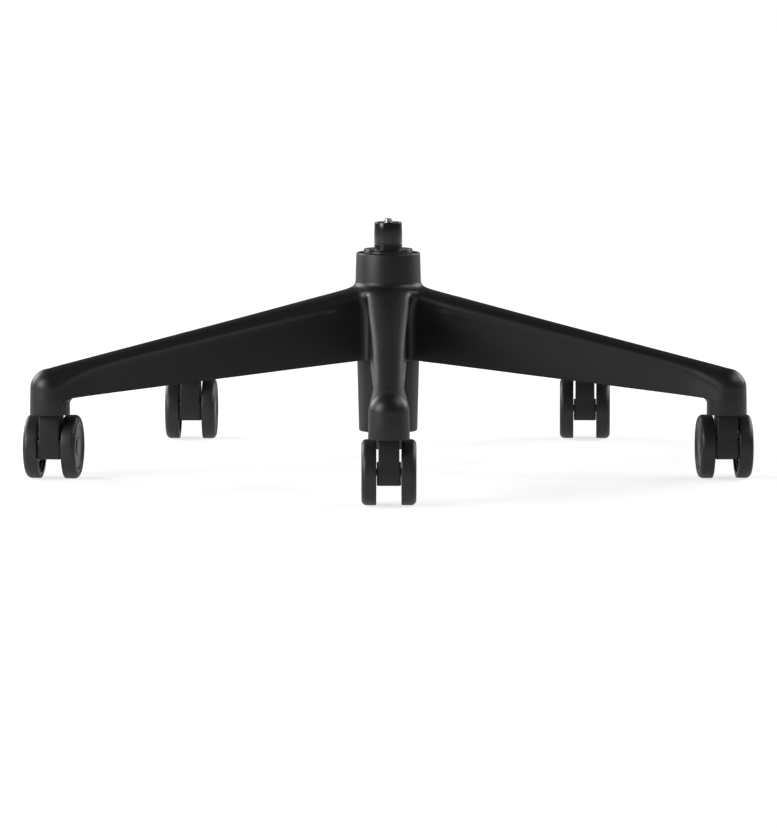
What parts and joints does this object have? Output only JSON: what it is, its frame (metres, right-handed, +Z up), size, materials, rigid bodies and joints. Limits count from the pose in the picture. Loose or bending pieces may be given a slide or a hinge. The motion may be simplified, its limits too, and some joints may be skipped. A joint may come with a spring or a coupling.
{
  "type": "office chair base",
  "caption": "Star-shaped base for an office chair, with tapered arms on swivel casters and a gas lift column in its hub.",
  "frame": {"origin": "the point on the floor straight under the hub axis", "axes": "+Z up along the hub and gas lift axis, -Y along the front arm, +X to the right seen from the front arm"},
  "size_m": [0.7192, 0.7053, 0.2508],
  "materials": {
    "nylon_black": "fine textured satin black moulding",
    "wheel_black": "satin black moulding",
    "tread_black": "smooth satin black tread",
    "tube_black": "black painted steel tube",
    "tube_gloss": "smooth gloss black steel tube",
    "bush_plastic": "smooth black acetal",
    "steel": "turned bright steel",
    "bumper_rubber": "black rubber"
  },
  "bodies": {
    "base": {"base_star": "nylon_black", "column_tube": "tube_black", "guide_bush": "bush_plastic", "bearing_washer_lower": "steel", "bearing_balls": "steel", "front_stem": "steel", "front_grip_ring": "steel", "front_snap_ring": "steel", "right_stem": "steel", "right_grip_ring": "steel", "right_snap_ring": "steel", "rear_right_stem": "steel", "rear_right_grip_ring": "steel", "rear_right_snap_ring": "steel", "rear_left_stem": "steel", "rear_left_grip_ring": "steel", "rear_left_snap_ring": "steel", "left_stem": "steel", "left_grip_ring": "steel", "left_snap_ring": "steel"},
    "rod": {"piston_rod": "steel", "piston": "bush_plastic", "bearing_washer_upper": "steel", "rod_clip": "steel", "bumper": "bumper_rubber"},
    "tube": {"pressure_tube": "tube_gloss", "rod_guide": "bush_plastic", "valve_body": "steel"},
    "pin": {"release_pin": "steel"},
    "front_roller_left": {"front_wheel_left": "wheel_black", "front_tyre_left": "tread_black"},
    "front_roller_right": {"front_wheel_right": "wheel_black", "front_tyre_right": "tread_black"},
    "front_caster": {"front_caster_body": "nylon_black", "front_axle": "steel"},
    "right_roller_left": {"right_wheel_left": "wheel_black", "right_tyre_left": "tread_black"},
    "right_roller_right": {"right_wheel_right": "wheel_black", "right_tyre_right": "tread_black"},
    "right_caster": {"right_caster_body": "nylon_black", "right_axle": "steel"},
    "rear_right_roller_left": {"rear_right_wheel_left": "wheel_black", "rear_right_tyre_left": "tread_black"},
    "rear_right_roller_right": {"rear_right_wheel_right": "wheel_black", "rear_right_tyre_right": "tread_black"},
    "rear_right_caster": {"rear_right_caster_body": "nylon_black", "rear_right_axle": "steel"},
    "rear_left_roller_left": {"rear_left_wheel_left": "wheel_black", "rear_left_tyre_left": "tread_black"},
    "rear_left_roller_right": {"rear_left_wheel_right": "wheel_black", "rear_left_tyre_right": "tread_black"},
    "rear_left_caster": {"rear_left_caster_body": "nylon_black", "rear_left_axle": "steel"},
    "left_roller_left": {"left_wheel_left": "wheel_black", "left_tyre_left": "tread_black"},
    "left_roller_right": {"left_wheel_right": "wheel_black", "left_tyre_right": "tread_black"},
    "left_caster": {"left_caster_body": "nylon_black", "left_axle": "steel"}
  },
  "joints": [
    {"name": "seat_swivel", "type": "hinge", "parent": "base", "child": "rod", "pos_m": [0, 0, 0.1], "axis": [0, 0, 1], "continuous": true},
    {"name": "lift", "type": "slide", "parent": "rod", "child": "tube", "axis": [0, 0, 1], "range_m": [0, 0.1]},
    {"name": "release_press", "type": "slide", "parent": "tube", "child": "pin", "axis": [0, 0, -1], "range_m": [0, 0.0025], "stiffness_N_per_m": 400},
    {"name": "front_swivel", "type": "hinge", "parent": "base", "child": "front_caster", "pos_m": [0, -0.35, 0.05], "axis": [0, 0, 1], "continuous": true},
    {"name": "front_roll_left", "type": "hinge", "parent": "front_caster", "child": "front_roller_left", "pos_m": [0, -0.33, 0.0315], "axis": [-1, 0, 0], "continuous": true},
    {"name": "front_roll_right", "type": "hinge", "parent": "front_caster", "child": "front_roller_right", "pos_m": [0, -0.33, 0.0315], "axis": [-1, 0, 0], "continuous": true},
    {"name": "right_swivel", "type": "hinge", "parent": "base", "child": "right_caster", "pos_m": [0.33287, -0.10816, 0.05], "axis": [0, 0, 1], "continuous": true},
    {"name": "right_roll_left", "type": "hinge", "parent": "right_caster", "child": "right_roller_left", "pos_m": [0.33151, -0.0882, 0.0315], "axis": [-0.9977, -0.068, 0], "continuous": true},
    {"name": "right_roll_right", "type": "hinge", "parent": "right_caster", "child": "right_roller_right", "pos_m": [0.33151, -0.0882, 0.0315], "axis": [-0.9977, -0.068, 0], "continuous": true},
    {"name": "rear_right_swivel", "type": "hinge", "parent": "base", "child": "rear_right_caster", "pos_m": [0.20572, 0.28316, 0.05], "axis": [0, 0, 1], "continuous": true},
    {"name": "rear_right_roll_left", "type": "hinge", "parent": "rear_right_caster", "child": "rear_right_roller_left", "pos_m": [0.20632, 0.30315, 0.0315], "axis": [-0.9996, 0.0297, 0], "continuous": true},
    {"name": "rear_right_roll_right", "type": "hinge", "parent": "rear_right_caster", "child": "rear_right_roller_right", "pos_m": [0.20632, 0.30315, 0.0315], "axis": [-0.9996, 0.0297, 0], "continuous": true},
    {"name": "rear_left_swivel", "type": "hinge", "parent": "base", "child": "rear_left_caster", "pos_m": [-0.20572, 0.28316, 0.05], "axis": [0, 0, 1], "continuous": true},
    {"name": "rear_left_roll_left", "type": "hinge", "parent": "rear_left_caster", "child": "rear_left_roller_left", "pos_m": [-0.20496, 0.30314, 0.0315], "axis": [-0.9993, 0.0384, 0], "continuous": true},
    {"name": "rear_left_roll_right", "type": "hinge", "parent": "rear_left_caster", "child": "rear_left_roller_right", "pos_m": [-0.20496, 0.30314, 0.0315], "axis": [-0.9993, 0.0384, 0], "continuous": true},
    {"name": "left_swivel", "type": "hinge", "parent": "base", "child": "left_caster", "pos_m": [-0.33287, -0.10816, 0.05], "axis": [0, 0, 1], "continuous": true},
    {"name": "left_roll_left", "type": "hinge", "parent": "left_caster", "child": "left_roller_left", "pos_m": [-0.33033, -0.08832, 0.0315], "axis": [-0.9919, 0.1271, 0], "continuous": true},
    {"name": "left_roll_right", "type": "hinge", "parent": "left_caster", "child": "left_roller_right", "pos_m": [-0.33033, -0.08832, 0.0315], "axis": [-0.9919, 0.1271, 0], "continuous": true}
  ]
}
